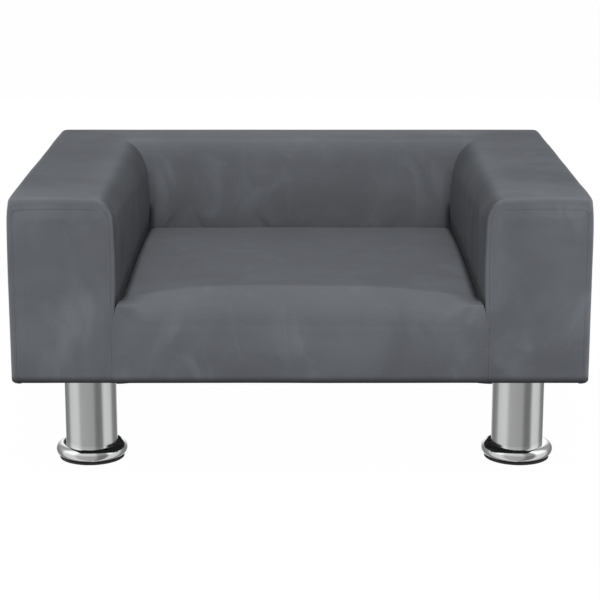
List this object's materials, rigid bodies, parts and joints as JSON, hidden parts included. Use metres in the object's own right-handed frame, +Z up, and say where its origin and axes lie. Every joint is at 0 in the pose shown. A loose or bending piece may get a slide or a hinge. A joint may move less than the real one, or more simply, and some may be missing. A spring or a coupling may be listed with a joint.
{
  "type": "dog sofa bed",
  "caption": "Small upholstered sofa bed for a dog, with arms and back of one height, a fixed padded seat, and round chromed legs with ringed feet.",
  "frame": {"origin": "on the floor under the middle of the sofa's overall box", "axes": "+X to the right as seen from the front, +Y towards the back rest, +Z up"},
  "size_m": [0.5, 0.4, 0.2566],
  "materials": {
    "velvet": "matte",
    "foam": "matte",
    "timber": "matte",
    "underside_cloth": "matte",
    "leg_steel": "satin",
    "chrome": "polished",
    "rubber": "matte",
    "zinc": "satin"
  },
  "bodies": {
    "root": {"base_panel": "timber", "front_rail": "timber", "seat_deck": "timber", "left_seat_cleat": "timber", "right_seat_cleat": "timber", "left_arm_outer_board": "timber", "left_arm_inner_board": "timber", "left_arm_front_board": "timber", "left_arm_top_board": "timber", "right_arm_outer_board": "timber", "right_arm_inner_board": "timber", "right_arm_front_board": "timber", "right_arm_top_board": "timber", "back_outer_board": "timber", "back_inner_board": "timber", "back_top_board": "timber", "corner_blocks": "timber", "left_arm_foam": "foam", "right_arm_foam": "foam", "back_foam": "foam", "seat_foam": "foam", "left_arm_cover": "velvet", "right_arm_cover": "velvet", "left_arm_front_cover": "velvet", "right_arm_front_cover": "velvet", "back_cover": "velvet", "outside_back_cover": "velvet", "seat_cover": "velvet", "dust_cover": "underside_cloth", "front_left_tube": "leg_steel", "front_left_plate": "leg_steel", "front_left_foot_ring": "chrome", "front_left_foot_pad": "rubber", "front_left_bolt": "zinc", "front_left_tee_nut": "zinc", "front_right_tube": "leg_steel", "front_right_plate": "leg_steel", "front_right_foot_ring": "chrome", "front_right_foot_pad": "rubber", "front_right_bolt": "zinc", "front_right_tee_nut": "zinc", "rear_left_tube": "leg_steel", "rear_left_plate": "leg_steel", "rear_left_foot_ring": "chrome", "rear_left_foot_pad": "rubber", "rear_left_bolt": "zinc", "rear_left_tee_nut": "zinc", "rear_right_tube": "leg_steel", "rear_right_plate": "leg_steel", "rear_right_foot_ring": "chrome", "rear_right_foot_pad": "rubber", "rear_right_bolt": "zinc", "rear_right_tee_nut": "zinc"}
  },
  "joints": []
}
